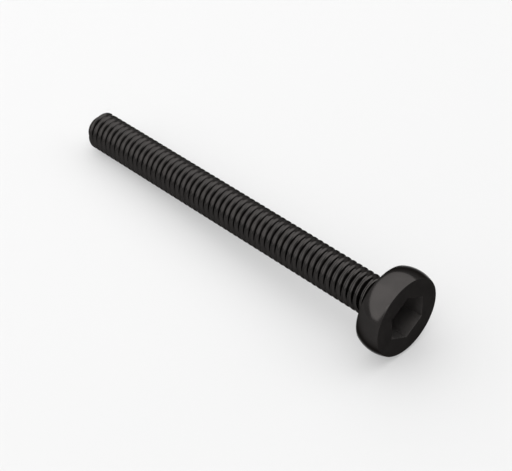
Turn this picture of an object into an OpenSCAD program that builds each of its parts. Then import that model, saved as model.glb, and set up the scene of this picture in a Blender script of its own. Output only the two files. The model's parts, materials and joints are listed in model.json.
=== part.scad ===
// Fully threaded screw with a barrel-sided pan head and a hexagon socket, in millimetres.
// It lies as it comes to rest on a table: on the widest circle of its head and on the crest of its
// thread at the far end, so its axis rises slightly towards the head, which is on the +X side.
// The lowest point is at z = 0 and the middle of its outline is over x = 0, y = 0.

/* [Thread] */
// Diameter over the thread's crests
thread_d = 3.94;  // [3.8:0.02:4.06]
// Distance from one turn of the thread to the next
thread_pitch = 0.7;  // [0.5:0.05:0.9]
// Length of the shank, from under the head to its flat end
shank_length = 40;  // [16:1:50]
// Width of the flat on the thread's crest, as a share of the pitch
crest_share = 0.15;  // [0.1:0.01:0.2]
// Width of the flat at the thread's root, as a share of the pitch
root_share = 0.19;  // [0.15:0.01:0.3]
// Angle between the two flanks of the thread
flank_angle = 60;  // [55:1:65]
// Where the thread begins near the flat end, turned about the axis from the underside
thread_start_turn = 117;  // [0:1:359]
// Length of the bevel on the flat end, measured along the axis
end_bevel_length = 0.3;  // [0.1:0.05:0.6]
// Slope of that bevel against the axis
end_bevel_angle = 35;  // [20:5:50]

/* [Head] */
// Widest diameter of the head, half way up its side
head_d = 8.5;  // [7.5:0.1:11]
// Height of the head, from its underside to its flat face
head_height = 2.54;  // [2.48:0.02:3.2]
// Radius of the arc that crowns the head's side
side_arc_radius = 3.2;  // [2.4:0.1:6]
// Diameter of the plain neck under the head
neck_d = 4.1;  // [4.06:0.02:4.4]
// Length of the plain neck
neck_length = 0.35;  // [0.25:0.05:0.6]
// Radius of the fillet between the neck and the head's underside
neck_fillet = 0.15;  // [0.05:0.05:0.2]

/* [Socket] */
// Width of the hexagon socket across its flats
socket_width = 4.1;  // [2:0.05:4.5]
// Depth of the socket below the flat face
socket_depth = 2.3;  // [1.2:0.05:2.35]
// Turn of the hexagon about the axis, from a corner at the underside
socket_turn = 0;  // [0:1:59]

/* [Fineness] */
// Most triangles that the thread may take
thread_triangles = 9400;  // [6000:200:11400]

/* [Hidden] */
// the thread's form: the run of one flank along the axis, and the rise from root to crest
flank_run = thread_pitch * (1 - crest_share - root_share) / 2;
thread_rise = flank_run / tan(flank_angle / 2);
crest_r = thread_d / 2;
root_r = crest_r - thread_rise;
end_r = root_r - end_bevel_length * tan(end_bevel_angle);

// steps along the helix: it starts over the bevel and runs on until its last whole turn is in the head
ridge_width = 2 * flank_run + crest_share * thread_pitch;
turns_to_head = (shank_length - end_bevel_length - ridge_width) / thread_pitch;
triangles_per_step = 8;
steps_per_turn = floor(thread_triangles / (triangles_per_step * (turns_to_head + 1)));
last_step = steps_per_turn + ceil(steps_per_turn * turns_to_head);

// the head's side arc: its centre, and the radius that it leaves at the flat face
side_arc_centre_r = head_d / 2 - side_arc_radius;
face_r = side_arc_centre_r + sqrt(pow(side_arc_radius, 2) - pow(head_height / 2, 2));
head_middle_z = shank_length + head_height / 2;

// the pose at rest: one straight line touches the side arc and the first crest that meets the table
first_crest_turn = (360 - thread_start_turn) / 360;
first_crest_z = end_bevel_length + flank_run + thread_pitch * first_crest_turn;
rest_run = head_middle_z - first_crest_z;
rest_rise = crest_r - side_arc_centre_r;
rest_tilt = asin(side_arc_radius / norm([rest_run, rest_rise])) - atan2(rest_rise, rest_run);
rest_z = side_arc_radius + side_arc_centre_r * cos(rest_tilt) - head_middle_z * sin(rest_tilt);
highest_x = (shank_length + head_height) * cos(rest_tilt) + face_r * sin(rest_tilt);
lowest_x = -end_r * sin(rest_tilt);
rest_x = -(highest_x + lowest_x) / 2;

round_steps = 96;
through = 1;

// a point at one step along the helix, where a side of the thread's form stands
function turn_at(i) = thread_start_turn + 360 * i / steps_per_turn;
function on_circle(r, i, z) = [r * cos(turn_at(i)), r * sin(turn_at(i)), z];
function helix_z(i) = end_bevel_length + thread_pitch * i / steps_per_turn;

// the thread's form at one step: lower root, lower crest, upper crest, upper root
function form_at(i) = [
    on_circle(root_r, i, helix_z(i)),
    on_circle(crest_r, i, helix_z(i) + flank_run),
    on_circle(crest_r, i, helix_z(i) + ridge_width - flank_run),
    on_circle(root_r, i, helix_z(i) + ridge_width)
];

// two triangles for the patch between step i and the next, from a lower row of points to a higher
function patch(low, low_next, high_next, high) = [[low, high, high_next], [low, high_next, low_next]];

// the shank's core with its helical thread as one closed skin
module threaded_core() {
    side = 4;
    helix = [for (i = [0 : last_step]) each form_at(i)];
    end_ring = [for (i = [0 : steps_per_turn - 1]) on_circle(end_r, i, 0)];
    bevel_ring = [for (i = [1 : steps_per_turn - 1]) on_circle(root_r, i, end_bevel_length)];
    tip = [[0, 0, helix_z(last_step) + ridge_width]];
    first_end = len(helix);
    first_bevel = first_end + len(end_ring);
    tip_index = first_bevel + len(bevel_ring);
    one_turn_back = last_step - steps_per_turn;

    flanks_and_crest = [
        for (i = [0 : last_step - 1], s = [0 : 2])
            each patch(side * i + s, side * (i + 1) + s, side * (i + 1) + s + 1, side * i + s + 1)
    ];
    roots = [
        for (i = [0 : one_turn_back - 1])
            let (above = i + steps_per_turn)
                each patch(side * i + 3, side * (i + 1) + 3, side * (above + 1), side * above)
    ];
    // the ring over the bevel starts at the helix's own first point
    bevel_points = [0, for (i = [0 : steps_per_turn - 2]) first_bevel + i, 0];
    end_points = [for (i = [0 : steps_per_turn]) first_end + i % steps_per_turn];
    under_first_turn = [
        [0, side, bevel_points[1]],
        for (i = [1 : steps_per_turn - 2])
            each patch(bevel_points[i], bevel_points[i + 1], side * (i + 1), side * i)
    ];
    // the last patch of the first turn ends on the thread's blunt start
    before = steps_per_turn - 1;
    beside_start = [
        [bevel_points[before], side * before, side * steps_per_turn],
        [bevel_points[before], side * steps_per_turn, 3],
        [bevel_points[before], 3, 0]
    ];
    blunt_start = [[0, 3, 2], [0, 2, 1]];
    bevel = [
        for (i = [0 : steps_per_turn - 1])
            each patch(end_points[i], end_points[i + 1], bevel_points[i + 1], bevel_points[i])
    ];
    flat_end = [for (i = [1 : steps_per_turn - 2]) [first_end, first_end + i, first_end + i + 1]];
    // inside the head the last turn closes on a point of the axis
    closing_form = [for (s = [0 : 2]) [side * last_step + s, side * last_step + s + 1, tip_index]];
    closing_step = [[side * one_turn_back + 3, side * last_step, tip_index]];
    closing_turn = [
        for (i = [one_turn_back : last_step - 1])
            [side * i + 3, tip_index, side * (i + 1) + 3]
    ];

    polyhedron(
        points = concat(helix, end_ring, bevel_ring, tip),
        faces = concat(
            flanks_and_crest, roots, under_first_turn, beside_start, blunt_start,
            bevel, flat_end, closing_form, closing_step, closing_turn
        )
    );
}

// plain neck that blends into the head's underside
module neck() {
    fillet_r = neck_d / 2 + neck_fillet;
    translate([0, 0, shank_length - neck_length])
        cylinder(h = neck_length + through, d = neck_d, $fn = round_steps);
    translate([0, 0, shank_length - neck_fillet])
        rotate_extrude($fn = round_steps)
            difference() {
                square([fillet_r, neck_fillet + through]);
                translate([fillet_r, 0])
                    circle(r = neck_fillet, $fn = round_steps);
            }
}

// head turned from a flat disc, with its side crowned by one arc; its turning starts at the top
module head_blank() {
    translate([0, 0, shank_length])
        rotate([0, 0, 180])
            rotate_extrude($fn = round_steps)
                intersection() {
                    square([head_d / 2, head_height]);
                    translate([side_arc_centre_r, head_height / 2])
                        circle(r = side_arc_radius, $fn = 2 * round_steps);
                }
}

// hexagon that a key drives
module socket_space() {
    translate([0, 0, shank_length + head_height - socket_depth])
        rotate([0, 0, socket_turn])
            cylinder(h = socket_depth + through, d = socket_width / cos(30), $fn = 6);
}

// one turned and rolled piece, with its flat end at z = 0 and its head upwards
module standing_screw() {
    difference() {
        union() {
            threaded_core();
            neck();
            head_blank();
        }
        socket_space();
    }
}

module screw() {
    color([0.09, 0.09, 0.1])
        translate([rest_x, 0, rest_z])
            rotate([0, 90 - rest_tilt, 0])
                standing_screw();
}

screw();
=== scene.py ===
import bpy
import bmesh
import json
import math
import time
from mathutils import Matrix, Vector


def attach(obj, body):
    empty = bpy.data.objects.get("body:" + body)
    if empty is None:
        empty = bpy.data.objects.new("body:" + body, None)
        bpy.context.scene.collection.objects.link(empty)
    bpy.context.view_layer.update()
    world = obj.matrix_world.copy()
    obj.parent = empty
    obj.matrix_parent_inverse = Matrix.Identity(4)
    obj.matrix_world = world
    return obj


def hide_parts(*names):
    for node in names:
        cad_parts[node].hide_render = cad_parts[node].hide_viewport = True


# One black machine screw: a rolled thread up to the head, a crowned pan head and a hexagon
# socket. It lies where the frame says, on its head's widest circle and its thread's far crest.

startTime = time.time()
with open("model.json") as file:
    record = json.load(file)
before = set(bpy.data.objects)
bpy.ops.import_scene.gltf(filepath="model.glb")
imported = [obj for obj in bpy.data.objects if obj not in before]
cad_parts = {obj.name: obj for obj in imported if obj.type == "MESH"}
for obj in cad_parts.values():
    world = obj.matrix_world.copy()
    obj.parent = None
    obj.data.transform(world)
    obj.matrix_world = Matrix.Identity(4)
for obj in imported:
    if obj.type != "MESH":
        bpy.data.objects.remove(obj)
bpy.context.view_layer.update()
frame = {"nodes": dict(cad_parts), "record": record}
mm = 0.001
print("frame loaded, nodes:", sorted(frame["nodes"]))


# where the screw lies: its flat end and its axis, from the frame's own mounts
mounts = {m["name"]: m for m in frame["record"]["mounts"]}
flatEnd = Vector(mounts["thread"]["pos_m"])
alongAxis = Vector(mounts["key_socket"]["axis"]).normalized()
towardsBack = Vector((0, 1, 0))
underside = towardsBack.cross(alongAxis).normalized()
lyingPose = Matrix((
    (underside.x, towardsBack.x, alongAxis.x, flatEnd.x),
    (underside.y, towardsBack.y, alongAxis.y, flatEnd.y),
    (underside.z, towardsBack.z, alongAxis.z, flatEnd.z),
    (0, 0, 0, 1),
))


# small helpers for node trees

def newNode(tree, kind, inputs=None, **settings):
    # each input is a value or another node's socket
    node = tree.nodes.new(kind)
    for key, value in settings.items():
        setattr(node, key, value)
    for key, value in (inputs or {}).items():
        if isinstance(value, bpy.types.NodeSocket):
            tree.links.new(value, node.inputs[key])
        else:
            node.inputs[key].default_value = value
    return node


def calc(tree, how, *terms, clamp=False):
    node = newNode(tree, "ShaderNodeMath", dict(enumerate(terms)), operation=how)
    node.use_clamp = clamp
    return node.outputs[0]


def plus(tree, a, b):
    return calc(tree, "ADD", a, b)


def minus(tree, a, b):
    return calc(tree, "SUBTRACT", a, b)


def times(tree, a, b):
    return calc(tree, "MULTIPLY", a, b)


def over(tree, a, b):
    return calc(tree, "DIVIDE", a, b)


def choose(tree, switch, whenOn, whenOff):
    # the first value where the switch is 1, the other where it is 0
    off = minus(tree, 1, switch)
    return plus(tree, times(tree, switch, whenOn), times(tree, off, whenOff))


def ramp(tree, value, start, end, low=0.0, high=1.0, smooth=False):
    # low up to the start, high from the end on
    node = newNode(tree, "ShaderNodeMapRange", {
        "Value": value, "From Min": start, "From Max": end, "To Min": low, "To Max": high,
    }, interpolation_type="SMOOTHSTEP" if smooth else "LINEAR")
    return node.outputs[0]


def bentLine(tree, value, points):
    # straight from point to point
    node = newNode(tree, "ShaderNodeFloatCurve", {"Value": value})
    curve = node.mapping.curves[0]
    for x, y in points[1:-1]:
        curve.points.new(x, y)
    for point, place in zip(sorted(curve.points, key=lambda p: p.location.x), points):
        point.location = place
        point.handle_type = "VECTOR"
    node.mapping.update()
    return node.outputs[0]


def noise(tree, place, inputs):
    return newNode(tree, "ShaderNodeTexNoise", {"Vector": place, **inputs}).outputs["Fac"]


def mixColours(tree, share, first, second):
    # 6, 7 and 2 are the Mix node's sockets for colours
    node = newNode(tree, "ShaderNodeMix", {"Factor": share, 6: first, 7: second}, data_type="RGBA")
    return node.outputs[2]


# the threaded shank, standing on its flat end at the origin, as a Geometry Nodes tree

shankSizes = {
    "Pitch": 0.7 * mm,
    "Crest Radius": 1.969 * mm,
    "Root Radius": 1.55 * mm,
    "End Radius": 1.36 * mm,
    "Bevel Length": 0.3 * mm,
    "Shank Top": 40.2 * mm,
    "Start Turn": math.radians(117),
    "Run In": 0.035,  # the blunt start, as a share of a turn
    "Sides": 96,
    "Rows Per Turn": 6,
    "Merge Distance": 0.002 * mm,
}
# the thread's form over one pitch: share of the pitch, share of the thread's depth
threadForm = [(0.0, 0.0), (0.33, 1.0), (0.49, 1.0), (0.82, 0.0), (1.0, 0.0)]
# where the rows of one turn fall over the pitch: on the form's corners and once on each flank
rowPlaces = [0, 0.165, 0.33, 0.49, 0.675, 0.82, 1]
bevelRows = 3  # the flat end's centre, its ring, and one ring half way up the bevel
topRows = 2  # the last turn's upper ring and the centre over it
gridSize = 1
halfStep = 0.5  # between one row and the next


def makeShankTree():
    tree = bpy.data.node_groups.new("rolledThread", "GeometryNodeTree")
    for name, value in shankSizes.items():
        kind = "NodeSocketInt" if isinstance(value, int) else "NodeSocketFloat"
        tree.interface.new_socket(name=name, in_out="INPUT", socket_type=kind)
    tree.interface.new_socket(name="Finish", in_out="INPUT", socket_type="NodeSocketMaterial")
    tree.interface.new_socket(name="Geometry", in_out="OUTPUT", socket_type="NodeSocketGeometry")
    given = newNode(tree, "NodeGroupInput").outputs

    # a grid to wrap round the axis: its columns go round, its rows go up
    perTurn = given["Rows Per Turn"]
    turns = calc(tree, "CEIL", over(tree, given["Shank Top"], given["Pitch"]))
    rows = plus(tree, times(tree, plus(tree, turns, 1), perTurn), bevelRows + topRows)
    grid = newNode(tree, "GeometryNodeMeshGrid", {
        "Size X": gridSize,
        "Size Y": gridSize,
        "Vertices X": plus(tree, given["Sides"], 1),
        "Vertices Y": rows,
    })
    position = newNode(tree, "GeometryNodeInputPosition").outputs[0]
    onGrid = newNode(tree, "ShaderNodeSeparateXYZ", {0: position}).outputs
    around = plus(tree, onGrid["X"], gridSize / 2)  # share of a turn, from the thread's start
    lastRow = minus(tree, rows, 1)
    row = calc(tree, "ROUND", times(tree, plus(tree, onGrid["Y"], gridSize / 2), lastRow))

    # each row of a turn keeps its place in the thread's form and climbs one pitch as it goes round
    fromBevel = minus(tree, row, bevelRows)
    turn = calc(tree, "FLOOR", over(tree, plus(tree, fromBevel, halfStep), perTurn))
    step = over(tree, minus(tree, fromBevel, times(tree, turn, perTurn)), perTurn)
    places = [(i / (len(rowPlaces) - 1), place) for i, place in enumerate(rowPlaces)]
    share = bentLine(tree, calc(tree, "MAXIMUM", step, 0), places)
    climbing = plus(tree, plus(tree, minus(tree, turn, 1), share), around)
    fanned = times(tree, share, around)  # the root below the first turn
    climb = choose(tree, calc(tree, "LESS_THAN", turn, halfStep), fanned, climbing)
    turnHeight = calc(tree, "MULTIPLY_ADD", climb, given["Pitch"], given["Bevel Length"])
    onBevel = calc(tree, "LESS_THAN", row, bevelRows - halfStep)
    bevelShare = calc(tree, "MULTIPLY", minus(tree, row, 1), 1 / (bevelRows - 1), clamp=True)
    bevelHeight = times(tree, bevelShare, given["Bevel Length"])
    height = choose(tree, onBevel, bevelHeight, turnHeight)
    height = calc(tree, "MINIMUM", height, given["Shank Top"])

    # how far the thread stands out at this height, and its blunt start
    climbed = over(tree, minus(tree, height, given["Bevel Length"]), given["Pitch"])
    away = minus(tree, climbed, around)
    form = bentLine(tree, calc(tree, "FRACT", away), threadForm)
    wound = plus(tree, calc(tree, "FLOOR", away), around)
    started = ramp(tree, wound, 0.0, given["Run In"], smooth=True)
    depth = minus(tree, given["Crest Radius"], given["Root Radius"])
    turnRadius = calc(tree, "MULTIPLY_ADD", times(tree, form, started), depth, given["Root Radius"])
    bevelRise = minus(tree, given["Root Radius"], given["End Radius"])
    bevelRadius = calc(tree, "MULTIPLY_ADD", bevelShare, bevelRise, given["End Radius"])
    radius = choose(tree, onBevel, bevelRadius, turnRadius)
    pastFirst = calc(tree, "GREATER_THAN", row, halfStep)
    beforeLast = calc(tree, "LESS_THAN", row, minus(tree, lastRow, halfStep))
    radius = times(tree, radius, times(tree, pastFirst, beforeLast))

    angle = calc(tree, "MULTIPLY_ADD", around, 2 * math.pi, given["Start Turn"])
    spot = newNode(tree, "ShaderNodeCombineXYZ", {
        "X": times(tree, radius, calc(tree, "COSINE", angle)),
        "Y": times(tree, radius, calc(tree, "SINE", angle)),
        "Z": height,
    })
    wrapped = newNode(tree, "GeometryNodeSetPosition", {
        "Geometry": grid.outputs["Mesh"], "Position": spot.outputs[0],
    })
    closed = newNode(tree, "GeometryNodeMergeByDistance", {
        "Geometry": wrapped.outputs[0], "Distance": given["Merge Distance"],
    })
    real = newNode(tree, "GeometryNodeRealizeInstances", {"Geometry": closed.outputs[0]})
    coated = newNode(tree, "GeometryNodeSetMaterial", {
        "Geometry": real.outputs[0], "Material": given["Finish"],
    })
    newNode(tree, "NodeGroupOutput", {"Geometry": coated.outputs[0]})
    return tree


def plainCopy(obj, name):
    # the evaluated mesh, with no modifier left
    seen = obj.evaluated_get(bpy.context.evaluated_depsgraph_get())
    mesh = bpy.data.meshes.new_from_object(seen)
    mesh.name = name
    made = bpy.data.objects.new(name, mesh)
    bpy.context.scene.collection.objects.link(made)
    bpy.data.objects.remove(obj)
    return made


def makeShank(finish):
    tree = makeShankTree()
    shank = bpy.data.objects.new("shankBlank", bpy.data.meshes.new("shankBlank"))
    bpy.context.scene.collection.objects.link(shank)
    modifier = shank.modifiers.new("rolledThread", "NODES")
    modifier.node_group = tree
    values = dict(shankSizes, Finish=finish)
    for item in tree.interface.items_tree:
        if item.item_type == "SOCKET" and item.in_out == "INPUT":
            modifier[item.identifier] = values[item.name]
    return plainCopy(shank, "shank")


# the head with its neck, its side's arc and its socket, as rings round the same axis, in millimetres

headSizes = {
    "underside": 40.0,
    "height": 2.54,
    "widest": 4.25,
    "sideArc": 3.2,
    "neck": 2.05,
    "neckLength": 0.35,
    "neckFillet": 0.15,
    "rimRound": 0.02,
    "socketAcrossFlats": 4.1,
    "socketDepth": 2.3,
    "mouthRound": 0.015,
    "sides": 72,
    "arcRings": 22,
    "roundRings": 5,
    "mouthRings": 4,
}


def arcPoints(centre, radius, start, end, count):
    # (radius, height) of points on an arc, both of its ends among them
    points = []
    for i in range(count):
        a = start + (end - start) * i / (count - 1)
        points.append((centre[0] + radius * math.cos(a), centre[1] + radius * math.sin(a)))
    return points


def headProfile():
    # (radius, height) from the neck's lower face out, up the side, in over the face
    s = headSizes
    low = s["underside"]
    top = low + s["height"]
    sideCentre = (s["widest"] - s["sideArc"], low + s["height"] / 2)
    filletCentre = (s["neck"] + s["neckFillet"], low - s["neckFillet"])
    # the rims' rounding meets the flat and the side's arc without a kink
    k = s["rimRound"]
    turn = math.asin((s["height"] / 2 - k) / (s["sideArc"] - k))
    rimRadius = sideCentre[0] + (s["sideArc"] - k) * math.cos(turn)
    square = math.pi / 2
    rings = [(s["neck"], low - s["neckLength"])]
    rings += arcPoints(filletCentre, s["neckFillet"], math.pi, square, s["roundRings"])
    rings += arcPoints((rimRadius, low + k), k, -square, -turn, s["roundRings"])
    rings += arcPoints(sideCentre, s["sideArc"], -turn, turn, s["arcRings"] + 1)[1:-1]
    rings += arcPoints((rimRadius, top - k), k, turn, square, s["roundRings"])
    return rings


def socketProfile():
    # (width across the flats, height) from the mouth's rounding down to the bottom
    s = headSizes
    top = s["underside"] + s["height"]
    wide = s["socketAcrossFlats"]
    k = s["mouthRound"]
    rings = []
    for i in range(s["mouthRings"]):
        a = math.pi / 2 * i / (s["mouthRings"] - 1)
        rings.append((wide + 2 * k * (1 - math.sin(a)), top - k * (1 - math.cos(a))))
    rings.append((wide, top - s["socketDepth"] / 2))
    rings.append((wide, top - s["socketDepth"]))
    return rings


def hexagonRadius(turn, acrossFlats):
    # a corner points to the underside
    return acrossFlats / 2 / math.cos(math.radians(turn % 60 - 30))


def makeHead():
    s = headSizes
    sides = s["sides"]
    turns = [360 * i / sides for i in range(sides)]
    sections = [([radius] * sides, z) for radius, z in headProfile()]
    for wide, z in socketProfile():
        sections.append(([hexagonRadius(turn, wide) for turn in turns], z))
    bm = bmesh.new()
    loops = []
    for radii, z in sections:
        ring = []
        for turn, radius in zip(turns, radii):
            r = radius * mm
            a = math.radians(turn)
            ring.append(bm.verts.new((r * math.cos(a), r * math.sin(a), z * mm)))
        loops.append(ring)
    for lower, upper in zip(loops, loops[1:]):
        for i in range(sides):
            j = (i + 1) % sides
            bm.faces.new((lower[i], lower[j], upper[j], upper[i]))
    bottom = bm.verts.new((0, 0, (s["underside"] + s["height"] - s["socketDepth"]) * mm))
    inside = bm.verts.new((0, 0, (s["underside"] - s["neckLength"]) * mm))
    for i in range(sides):
        j = (i + 1) % sides
        bm.faces.new((loops[-1][i], loops[-1][j], bottom))
        bm.faces.new((loops[0][j], loops[0][i], inside))
    bmesh.ops.recalc_face_normals(bm, faces=bm.faces)
    mesh = bpy.data.meshes.new("head")
    bm.to_mesh(mesh)
    bm.free()
    head = bpy.data.objects.new("head", mesh)
    bpy.context.scene.collection.objects.link(head)
    return head


# finishes

ownTurn = lyingPose.inverted().to_euler("XYZ")
ownMove = lyingPose.inverted().translation


def ownCoordinates(tree):
    # the piece's own coordinates in millimetres, turned so that Z runs along the screw
    place = newNode(tree, "ShaderNodeTexCoord").outputs["Object"]
    turned = newNode(tree, "ShaderNodeMapping", {
        "Vector": place, "Location": ownMove / mm, "Rotation": ownTurn, "Scale": (1 / mm, 1 / mm, 1 / mm),
    }, vector_type="POINT")
    return turned.outputs[0]


def lengthOf(tree, vector):
    return newNode(tree, "ShaderNodeVectorMath", {0: vector}, operation="LENGTH").outputs["Value"]


def radiusAndHeight(tree, place):
    parts = newNode(tree, "ShaderNodeSeparateXYZ", {0: place}).outputs
    flat = newNode(tree, "ShaderNodeCombineXYZ", {"X": parts["X"], "Y": parts["Y"]})
    return lengthOf(tree, flat.outputs[0]), parts["Z"]


def newGroup(name, inputs, outputs):
    tree = bpy.data.node_groups.new(name, "ShaderNodeTree")
    for label, value in inputs.items():
        kind = "NodeSocketColor" if isinstance(value, tuple) else "NodeSocketFloat"
        socket = tree.interface.new_socket(name=label, in_out="INPUT", socket_type=kind)
        socket.default_value = value
    for label in outputs:
        kind = "NodeSocketColor" if label == "Color" else "NodeSocketFloat"
        tree.interface.new_socket(name=label, in_out="OUTPUT", socket_type=kind)
    return tree, newNode(tree, "NodeGroupInput").outputs, newNode(tree, "NodeGroupOutput").inputs


def makeOxideGroup():
    # black oxide: soft clouds from the bath, a fine etched grain, and a roughness that follows both
    tree, given, out = newGroup("oxideSkin", {
        "Dark Oxide": (0.024, 0.024, 0.0235, 1),
        "Pale Oxide": (0.029, 0.028, 0.0275, 1),
        "Cloud Size": 2.2,
        "Grain Size": 0.05,
        "Grain Share": 0.35,
        "Roughness": 0.27,
        "Roughness Swing": 0.05,
    }, ["Color", "Roughness", "Height"])
    place = ownCoordinates(tree)
    clouds = noise(tree, place, {
        "Scale": over(tree, 1, given["Cloud Size"]), "Detail": 4, "Roughness": 0.55, "Distortion": 0.4,
    })
    grain = noise(tree, place, {
        "Scale": over(tree, 1, given["Grain Size"]), "Detail": 3, "Roughness": 0.6,
    })
    mixed = calc(tree, "MULTIPLY_ADD", minus(tree, grain, 0.5), given["Grain Share"], clouds)
    share = ramp(tree, mixed, 0.36, 0.64)
    swing = times(tree, minus(tree, share, 0.5), given["Roughness Swing"])
    tree.links.new(mixColours(tree, share, given["Dark Oxide"], given["Pale Oxide"]), out["Color"])
    tree.links.new(plus(tree, given["Roughness"], swing), out["Roughness"])
    tree.links.new(grain, out["Height"])
    return tree


def makeTurningGroup():
    # rings that a lathe or a rolling die leaves, from radius and height alone, faded in patches
    tree, given, out = newGroup("turningRings", {"Ring Spacing": 0.06, "Unevenness": 0.5}, ["Height"])
    place = ownCoordinates(tree)
    radius, height = radiusAndHeight(tree, place)
    section = newNode(tree, "ShaderNodeCombineXYZ", {"X": radius, "Z": height}).outputs[0]
    rings = noise(tree, section, {"Scale": over(tree, 1, given["Ring Spacing"]), "Detail": 2})
    patchy = noise(tree, place, {"Scale": 0.8, "Detail": 2})
    fade = minus(tree, 1, times(tree, patchy, given["Unevenness"]))
    tree.links.new(times(tree, rings, fade), out["Height"])
    return tree


def makeRubbedGroup():
    # where handling has polished the oxide: at and past a radius, broken up by a noise
    tree, given, out = newGroup("rubbedCrest", {
        "From Radius": 1.9, "To Radius": 1.96, "Patchiness": 0.6,
    }, ["Mask"])
    place = ownCoordinates(tree)
    radius = radiusAndHeight(tree, place)[0]
    near = ramp(tree, radius, given["From Radius"], given["To Radius"], smooth=True)
    broken = noise(tree, place, {"Scale": 2.4, "Detail": 3})
    kept = minus(tree, 1, times(tree, broken, given["Patchiness"]))
    tree.links.new(times(tree, near, kept), out["Mask"])
    return tree


oxideGroup = makeOxideGroup()
turningGroup = makeTurningGroup()
rubbedGroup = makeRubbedGroup()

# cloud, ringSpacing and rubbed are millimetres, and rubbed runs from one radius to the other;
# the two depths are shares of the bump's distance
finishes = {
    "threadOxide": {
        "metal": 1.0, "base": 0.0315, "edgeTint": 0.40, "roughness": 0.14, "cloud": 1.6,
        "ringSpacing": 0.035, "ringDepth": 0.05, "grainDepth": 0.06, "rubbed": (1.93, 1.97),
    },
    "headOxide": {
        "metal": 1.0, "base": 0.031, "edgeTint": 0.40, "roughness": 0.15, "cloud": 2.4,
        "ringSpacing": 0.05, "ringDepth": 0.04, "grainDepth": 0.05, "rubbed": (4.2, 4.35),
    },
    # the flat face: the same black oxide with a darker base, half of it diffuse, so that the face reads
    # darker: painted shade
    "faceOxidePaintedShade": {
        "metal": 0.5, "base": 0.0205, "edgeTint": 0.40, "roughness": 0.5, "cloud": 1.2,
        "ringSpacing": 0.09, "ringDepth": 0.04, "grainDepth": 0.08, "rubbed": (3.9, 4.0),
    },
    # the socket: the same black oxide with about twice the base, half of it diffuse, so that the socket's
    # walls read lit: painted light
    "socketOxidePaintedLight": {
        "metal": 0.5, "base": 0.066, "edgeTint": 0.2, "roughness": 0.5, "cloud": 1.2,
        "ringSpacing": 0.09, "ringDepth": 0.04, "grainDepth": 0.08, "rubbed": (2.3, 2.4),
    },
}
# what each of them is made of: red, green and blue as shares of its base
oxideTints = {
    "dark": (0.92, 0.8648, 0.8372),
    "pale": (1.08, 1.0044, 0.972),
    "rubbed": (1.4, 1.32, 1.27),
}
wear = {
    "rubbedShare": 0.25,
    "rubbedSmoother": 0.03,
    "bumpStrength": 0.35,
    "bumpDistance": 0.02,  # millimetres
}


def tinted(base, name):
    return tuple(share * base for share in oxideTints[name]) + (1,)


def makeFinish(name):
    f = finishes[name]
    material = bpy.data.materials.new(name)
    material.use_nodes = True
    tree = material.node_tree
    tree.nodes.clear()
    skin = newNode(tree, "ShaderNodeGroup", {
        "Dark Oxide": tinted(f["base"], "dark"),
        "Pale Oxide": tinted(f["base"], "pale"),
        "Cloud Size": f["cloud"],
        "Roughness": f["roughness"],
    }, node_tree=oxideGroup).outputs
    turning = newNode(tree, "ShaderNodeGroup", {
        "Ring Spacing": f["ringSpacing"],
    }, node_tree=turningGroup).outputs
    rubbed = newNode(tree, "ShaderNodeGroup", {
        "From Radius": f["rubbed"][0], "To Radius": f["rubbed"][1],
    }, node_tree=rubbedGroup).outputs["Mask"]
    bareShare = times(tree, rubbed, wear["rubbedShare"])
    colour = mixColours(tree, bareShare, skin["Color"], tinted(f["base"], "rubbed"))
    rough = minus(tree, skin["Roughness"], times(tree, rubbed, wear["rubbedSmoother"]))
    grain = times(tree, skin["Height"], f["grainDepth"])
    rings = times(tree, turning["Height"], f["ringDepth"])
    bump = newNode(tree, "ShaderNodeBump", {
        "Strength": wear["bumpStrength"],
        "Distance": wear["bumpDistance"] * mm,
        "Height": plus(tree, grain, rings),
    })
    shader = newNode(tree, "ShaderNodeBsdfPrincipled", {
        "Base Color": colour,
        "Metallic": f["metal"],
        "Roughness": rough,
        "Specular IOR Level": 0.0,
        "Specular Tint": (f["edgeTint"], f["edgeTint"], f["edgeTint"], 1),
        "Normal": bump.outputs[0],
    })
    newNode(tree, "ShaderNodeOutputMaterial", {"Surface": shader.outputs[0]})
    return material


materials = {name: makeFinish(name) for name in finishes}
print("finishes made:", ", ".join(materials))


# the one piece: shank and head joined, closed, laid down

screwShading = {
    "sharpAngle": 34,  # degrees
    "tolerance": 0.001,  # millimetres
}


def joinSolids(base, other):
    join = base.modifiers.new("join", "BOOLEAN")
    join.operation = "UNION"
    join.solver = "MANIFOLD"
    join.object = other
    joined = plainCopy(base, "blackScrew")
    bpy.data.objects.remove(other)
    return joined


def finishAt(spot, neckFrom, faceFrom):
    # the finish of one face of the standing screw, from the face's middle
    if spot.z < neckFrom:
        return "threadOxide"
    reach = (headSizes["socketAcrossFlats"] / 2 + headSizes["mouthRound"]) * mm
    flats = [math.radians(turn) for turn in (30, 90, 150)]
    # the socket's walls take the lighter copy of the oxide, a painted light
    if all(abs(spot.x * math.cos(a) + spot.y * math.sin(a)) < reach for a in flats):
        return "socketOxidePaintedLight"
    # the flat face takes the darker copy of the oxide, a painted shade
    if spot.z > faceFrom:
        return "faceOxidePaintedShade"
    return "headOxide"


def dressAndLayDown(screw):
    s = headSizes
    neckFrom = (s["underside"] - s["neckLength"] + screwShading["tolerance"]) * mm
    faceFrom = (s["underside"] + s["height"] - screwShading["tolerance"]) * mm
    mesh = screw.data
    mesh.materials.clear()
    for material in materials.values():
        mesh.materials.append(material)
    order = list(materials)
    for polygon in mesh.polygons:
        polygon.material_index = order.index(finishAt(polygon.center, neckFrom, faceFrom))
        polygon.use_smooth = True
    mesh.set_sharp_from_angle(angle=math.radians(screwShading["sharpAngle"]))
    # rolling leaves the thread's own edges soft
    for edge in mesh.edges:
        ends = [mesh.vertices[i].co for i in edge.vertices]
        if all(shankSizes["Bevel Length"] < end.z < neckFrom for end in ends):
            edge.use_edge_sharp = False
    mesh.transform(lyingPose)
    mesh.update()
    return screw


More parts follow.
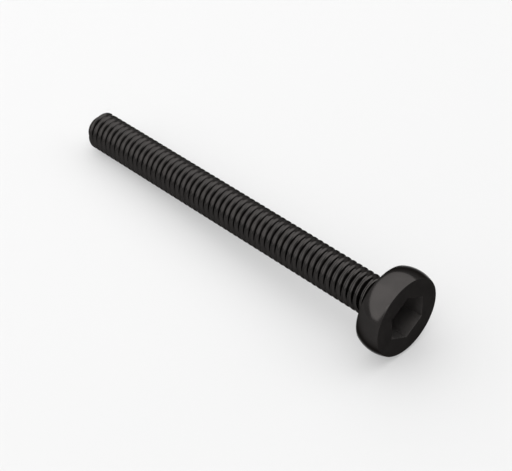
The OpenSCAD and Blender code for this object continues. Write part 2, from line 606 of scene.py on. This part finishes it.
head = makeHead()
print("head made", len(head.data.polygons), "faces")
shank = makeShank(materials["threadOxide"])
print("shank made", len(shank.data.polygons), "faces", round(time.time() - startTime, 1), "s")
screw = dressAndLayDown(joinSolids(shank, head))
screw.data.calc_loop_triangles()
print("screw joined", len(screw.data.loop_triangles), "triangles", round(time.time() - startTime, 1), "s")

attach(screw, "root")
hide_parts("screw")


# camera, table and light

cameraSetup = {
    "lens": 106.35,
    "sensorWidth": 36,
    "place": (0.078215, -0.075942, 0.101390),
    "downwards": 42.808,  # degrees below level
    "aroundZ": 45.034,
    "photoWidth": 512,
    "shiftX": -0.75,  # pixels of the photo
    "shiftY": 0.4,
    "clipStart": 0.005,
    "clipEnd": 20,
}


def makeCamera():
    s = cameraSetup
    data = bpy.data.cameras.new("camera")
    data.lens = s["lens"]
    data.sensor_width = s["sensorWidth"]
    data.shift_x = s["shiftX"] / s["photoWidth"]
    data.shift_y = s["shiftY"] / s["photoWidth"]
    data.clip_start = s["clipStart"]
    data.clip_end = s["clipEnd"]
    camera = bpy.data.objects.new("camera", data)
    camera.location = s["place"]
    camera.rotation_euler = (math.radians(90 - s["downwards"]), 0, math.radians(s["aroundZ"]))
    bpy.context.scene.collection.objects.link(camera)
    bpy.context.scene.camera = camera


def seenDirectly(tree):
    # 1 for what the camera sees, straight, in a reflection or through glass
    path = newNode(tree, "ShaderNodeLightPath").outputs
    seen = plus(tree, path["Is Camera Ray"], path["Is Glossy Ray"])
    return calc(tree, "ADD", seen, path["Is Transmission Ray"], clamp=True)


# lengths in metres; along runs with X and across with Y
tableAndLight = {
    "tableSize": 6.0,
    "tableColour": (0.60, 0.60, 0.60, 1),
    "tableWhiteness": 0.35,
    "paleFrom": 0.12,
    "paleTo": 0.45,
    "worldStrength": 0.08,
    "panelHeight": 0.30,
    "panelRadiance": 1.95,
    "overheadAlong": (-0.64, 0.15),
    "overheadAcross": (-2.20, 0.56),
    "besideAlong": (0.16, 0.60),
    "besideAcross": (0.15, 0.90),
    "fillPlace": (0.27, -0.28, 0.26),
    "fillSize": 0.3,
    "fillRadiance": 1.15,
}


def makeTable():
    s = tableAndLight
    half = s["tableSize"] / 2
    corners = [(-half, -half, 0), (half, -half, 0), (half, half, 0), (-half, half, 0)]
    mesh = bpy.data.meshes.new("table")
    mesh.from_pydata(corners, [], [(0, 1, 2, 3)])
    table = bpy.data.objects.new("table", mesh)
    bpy.context.scene.collection.objects.link(table)
    material = bpy.data.materials.new("paleTable")
    material.use_nodes = True
    tree = material.node_tree
    tree.nodes.clear()
    plain = newNode(tree, "ShaderNodeBsdfPrincipled", {
        "Base Color": s["tableColour"], "Roughness": 0.9, "Specular IOR Level": 0.0,
    })
    white = newNode(tree, "ShaderNodeEmission", {"Strength": 1.0})
    # far from the screw, where the lamps no longer reach, the table is as pale as the world
    away = lengthOf(tree, newNode(tree, "ShaderNodeTexCoord").outputs["Object"])
    whiteness = ramp(tree, away, s["paleFrom"], s["paleTo"], low=s["tableWhiteness"], smooth=True)
    share = times(tree, seenDirectly(tree), whiteness)
    both = newNode(tree, "ShaderNodeMixShader", {0: share, 1: plain.outputs[0], 2: white.outputs[0]})
    newNode(tree, "ShaderNodeOutputMaterial", {"Surface": both.outputs[0]})
    mesh.materials.append(material)


def addSoftbox(name, place, turn, width, length, radiance):
    data = bpy.data.lights.new(name, "AREA")
    data.shape = "RECTANGLE"
    data.size = width
    data.size_y = length
    data.energy = radiance * math.pi * width * length
    softbox = bpy.data.objects.new(name, data)
    softbox.location = place
    softbox.rotation_euler = turn
    bpy.context.scene.collection.objects.link(softbox)


def addPanel(name, along, across):
    # a level panel over the table, from its ends along X and across it
    s = tableAndLight
    place = (sum(along) / 2, sum(across) / 2, s["panelHeight"])
    addSoftbox(name, place, (0, 0, 0), along[1] - along[0], across[1] - across[0], s["panelRadiance"])


def makeLight():
    s = tableAndLight
    addPanel("overhead", s["overheadAlong"], s["overheadAcross"])
    addPanel("beside", s["besideAlong"], s["besideAcross"])
    fillPlace = Vector(s["fillPlace"])
    fillTurn = fillPlace.to_track_quat("Z", "Y").to_euler()
    addSoftbox("fill", fillPlace, fillTurn, s["fillSize"], s["fillSize"], s["fillRadiance"])
    world = bpy.data.worlds.new("studio")
    world.use_nodes = True
    tree = world.node_tree
    tree.nodes.clear()
    level = ramp(tree, seenDirectly(tree), 0.0, 1.0, low=s["worldStrength"])
    sky = newNode(tree, "ShaderNodeBackground", {"Strength": level})
    newNode(tree, "ShaderNodeOutputWorld", {"Surface": sky.outputs[0]})
    bpy.context.scene.world = world


makeCamera()
makeTable()
makeLight()
bpy.context.scene.view_settings.view_transform = "Standard"
print("camera, table and light made")

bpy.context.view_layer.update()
print("box by CAD and dressed written", round(time.time() - startTime, 1), "s")
